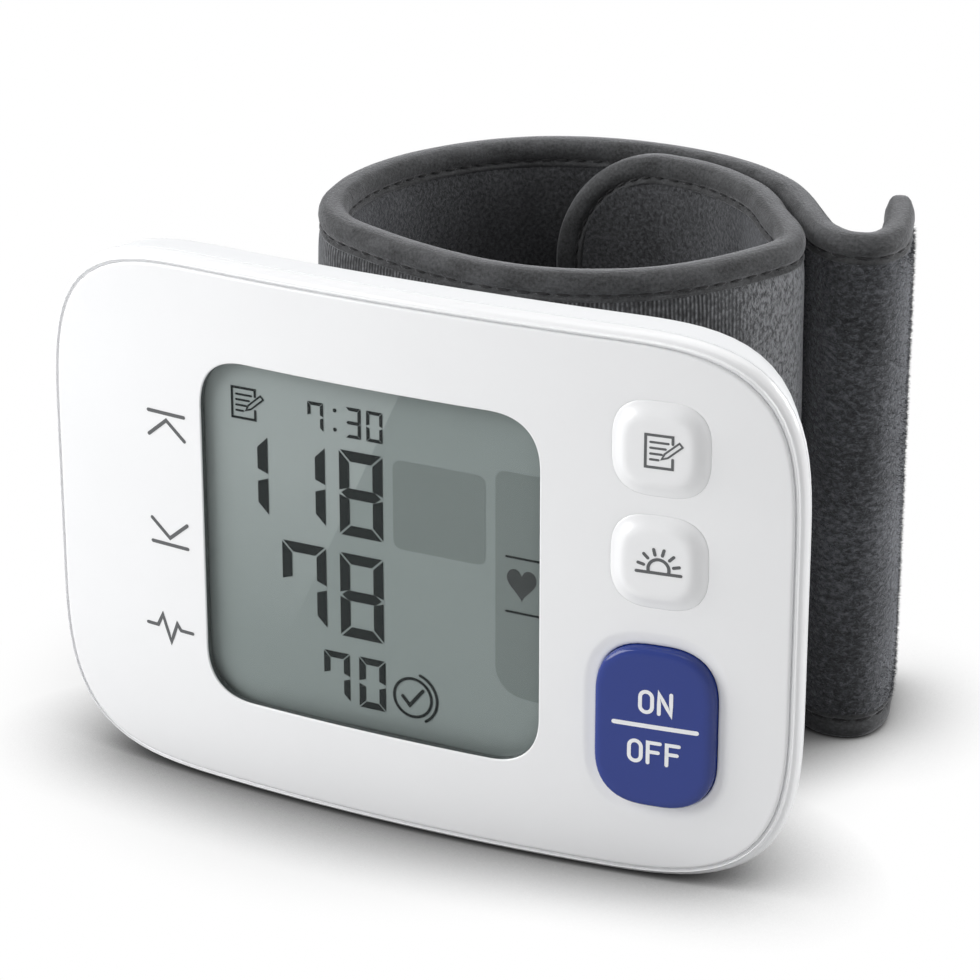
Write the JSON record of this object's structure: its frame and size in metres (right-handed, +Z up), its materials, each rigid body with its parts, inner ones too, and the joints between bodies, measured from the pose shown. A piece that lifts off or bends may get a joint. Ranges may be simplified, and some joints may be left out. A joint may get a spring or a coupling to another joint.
{
  "type": "wrist blood pressure monitor",
  "caption": "Slim curved case with a square display and three push buttons on its face, held on a wrist by a wrapped fabric cuff with an air bladder and a hook tail.",
  "frame": {"origin": "on the floor, under the middle of the whole", "axes": "the face with the display looks to -Y, +X runs to the buttons' side, +Z is up"},
  "size_m": [0.0906, 0.0662, 0.0622],
  "materials": {
    "white_gloss": "white moulded plastic, glossy",
    "white_satin": "white moulded plastic, satin",
    "blue_gloss": "deep blue moulded plastic, glossy",
    "clear_lens": "clear hard plastic",
    "display_glass": "grey-green reflective display glass",
    "grey_plastic": "grey moulded plastic",
    "black_plastic": "black moulded plastic",
    "dark_rubber": "dark rubber",
    "pale_tube": "pale soft plastic",
    "board_green": "circuit board with green mask",
    "steel": "plain steel",
    "nickel": "nickel plated steel",
    "cell_jacket": "printed film jacket without text",
    "knit": "dark grey ribbed knit",
    "velour": "charcoal velour",
    "binding": "charcoal binding tape with a line of stitches",
    "hook_tape": "dark hook tape",
    "foam": "grey foam"
  },
  "bodies": {
    "housing": {"face_plate": "white_gloss", "front_shell": "white_gloss", "rear_shell": "white_satin", "display_window": "clear_lens", "shell_screw_1": "steel", "shell_screw_2": "steel", "shell_screw_3": "steel", "shell_screw_4": "steel", "memory_switch": "steel", "morning_switch": "steel", "start_switch": "steel", "display_panel": "display_glass", "display_holder": "grey_plastic", "display_connector": "dark_rubber", "main_board": "board_green", "controller_chip": "black_plastic", "buzzer": "nickel", "battery_cell_1": "cell_jacket", "battery_cell_2": "cell_jacket", "battery_spring_1": "steel", "battery_spring_2": "steel", "spring_contact_1": "nickel", "spring_contact_2": "nickel", "nub_contact_1": "nickel", "nub_contact_2": "nickel", "pump_motor": "steel", "pump_head": "black_plastic", "pump_diaphragm": "dark_rubber", "valve_body": "steel", "valve_spring": "steel", "valve_cap": "black_plastic", "pressure_sensor": "nickel", "air_manifold": "pale_tube", "cuff_nipple": "grey_plastic", "mount_plate": "grey_plastic", "push_nut_1": "steel", "push_nut_2": "steel", "push_nut_3": "steel", "push_nut_4": "steel", "cuff_fabric": "knit", "cuff_curler": "grey_plastic", "air_bladder": "pale_tube", "cuff_lining": "velour", "cuff_binding": "binding"},
    "memory_button": {"memory_button": "white_gloss"},
    "morning_button": {"morning_button": "white_gloss"},
    "start_button": {"start_button": "blue_gloss"},
    "battery_door": {"battery_door": "white_satin"},
    "pump_crank": {"pump_crank": "steel"},
    "valve_plunger": {"valve_plunger": "steel"},
    "cuff_strap": {"strap_fabric": "knit", "strap_foam": "foam", "strap_lining": "velour", "strap_binding_top": "binding", "strap_binding_bottom": "binding"},
    "cuff_tail": {"tail_fabric": "knit", "tail_foam": "foam", "tail_hook_patch": "hook_tape", "tail_binding": "binding"}
  },
  "joints": [
    {"name": "memory_press", "type": "slide", "parent": "housing", "child": "memory_button", "axis": [0, 1, 0], "range_m": [0, 0.00045], "stiffness_N_per_m": 2500},
    {"name": "morning_press", "type": "slide", "parent": "housing", "child": "morning_button", "axis": [0, 1, 0], "range_m": [0, 0.00045], "stiffness_N_per_m": 2500},
    {"name": "start_press", "type": "slide", "parent": "housing", "child": "start_button", "axis": [0, 1, 0], "range_m": [0, 0.00045], "stiffness_N_per_m": 3000},
    {"name": "door_slide", "type": "slide", "parent": "housing", "child": "battery_door", "axis": [0, 0, 1], "range_m": [0, 0.052]},
    {"name": "crank_turn", "type": "hinge", "parent": "housing", "child": "pump_crank", "pos_m": [0.03015, -0.02217, 0.02537], "axis": [0, 0, 1], "continuous": true},
    {"name": "valve_lift", "type": "slide", "parent": "housing", "child": "valve_plunger", "axis": [0, 0, 1], "range_m": [0, 0.0006], "stiffness_N_per_m": 200, "deforming": ["valve_spring"]},
    {"name": "strap_swing", "type": "hinge", "parent": "housing", "child": "cuff_strap", "pos_m": [-0.02625, 0.0054, 0.0306], "axis": [0, 0, 1], "range_deg": [0, 40]},
    {"name": "tail_peel", "type": "hinge", "parent": "cuff_strap", "child": "cuff_tail", "pos_m": [0.0275, 0.01905, 0.0306], "axis": [0, 0, 1], "range_deg": [0, 60]}
  ]
}
